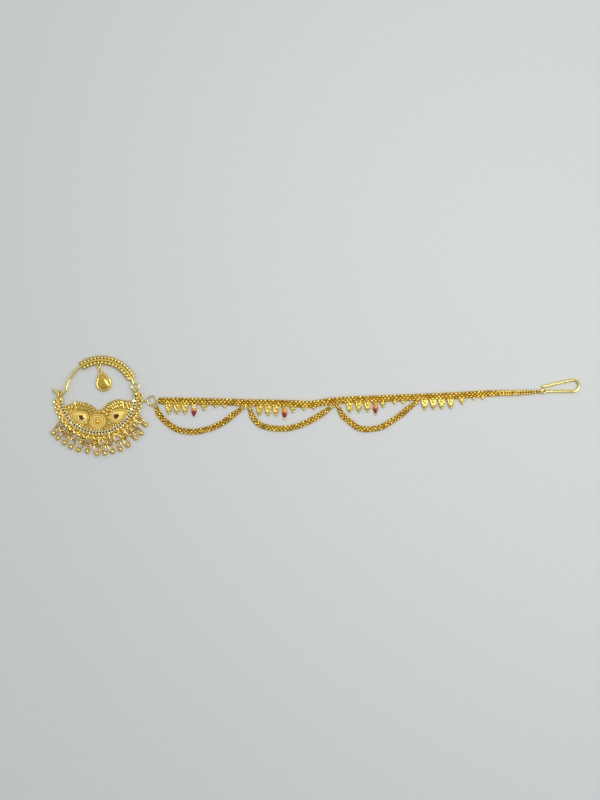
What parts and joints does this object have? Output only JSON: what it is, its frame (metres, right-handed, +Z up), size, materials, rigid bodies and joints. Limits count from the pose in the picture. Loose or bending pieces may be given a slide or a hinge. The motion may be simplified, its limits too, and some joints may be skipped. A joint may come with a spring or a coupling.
{
  "type": "nose ring with hair chain",
  "caption": "Gilt bridal nose ring lying flat: a roped hoop with a pear drop on a grained crescent with fringe, and a woven chain with swags to a hair hook.",
  "frame": {"origin": "middle of the bounding box, at the floor that the jewel lies on", "axes": "+X along the chain from the ring to the hair hook, +Y from the crescent's fringe to the hoop's top, +Z up off the floor"},
  "size_m": [0.243, 0.046, 0.0044],
  "materials": {
    "gold": "gilt, polished",
    "pale_gold": "gilt, matte",
    "deep_gold": "gilt, woven wire",
    "champagne_stone": "cut glass over foil",
    "dark_red_stone": "cut glass over foil",
    "orange_stone": "polished glass over foil",
    "red_enamel": "glossy enamel on gilt brass"
  },
  "bodies": {
    "crescent_and_chain": {"crescent": "gold", "gallery": "gold", "plaque_left": "pale_gold", "plaque_right": "pale_gold", "plaque_stone_left": "dark_red_stone", "plaque_stone_right": "dark_red_stone", "rosette": "pale_gold", "rosette_stone": "orange_stone", "fringe_ring_01": "gold", "fringe_ring_02": "gold", "fringe_ring_03": "gold", "fringe_ring_04": "gold", "fringe_ring_05": "gold", "fringe_ring_06": "gold", "fringe_ring_07": "gold", "fringe_ring_08": "gold", "fringe_ring_09": "gold", "fringe_ring_10": "gold", "fringe_ring_11": "gold", "fringe_ring_12": "gold", "fringe_ring_13": "gold", "fringe_ring_14": "gold", "fringe_ball_01": "gold", "fringe_ball_02": "gold", "fringe_ball_03": "gold", "fringe_ball_04": "gold", "fringe_ball_05": "gold", "fringe_ball_06": "gold", "fringe_ball_07": "gold", "fringe_ball_08": "gold", "fringe_ball_09": "gold", "fringe_ball_10": "gold", "fringe_ball_11": "gold", "fringe_ball_12": "gold", "fringe_ball_13": "gold", "fringe_ball_14": "gold", "side_link": "gold", "jump_ring": "gold", "hair_chain": "deep_gold", "swag_1": "deep_gold", "swag_2": "deep_gold", "swag_3": "deep_gold", "enamel_drop_1": "red_enamel", "enamel_drop_2": "red_enamel", "enamel_drop_3": "red_enamel", "hair_hook": "gold"},
    "hoop": {"nose_hoop": "gold", "pendant_link": "gold", "pendant_bezel": "pale_gold", "pendant_stone": "champagne_stone"}
  },
  "joints": [
    {"name": "hoop_swing", "type": "hinge", "parent": "crescent_and_chain", "child": "hoop", "pos_m": [-0.11728, 0.0053, 0.0022], "axis": [0.9985, 0.054, 0], "range_deg": [-90, 90]}
  ]
}
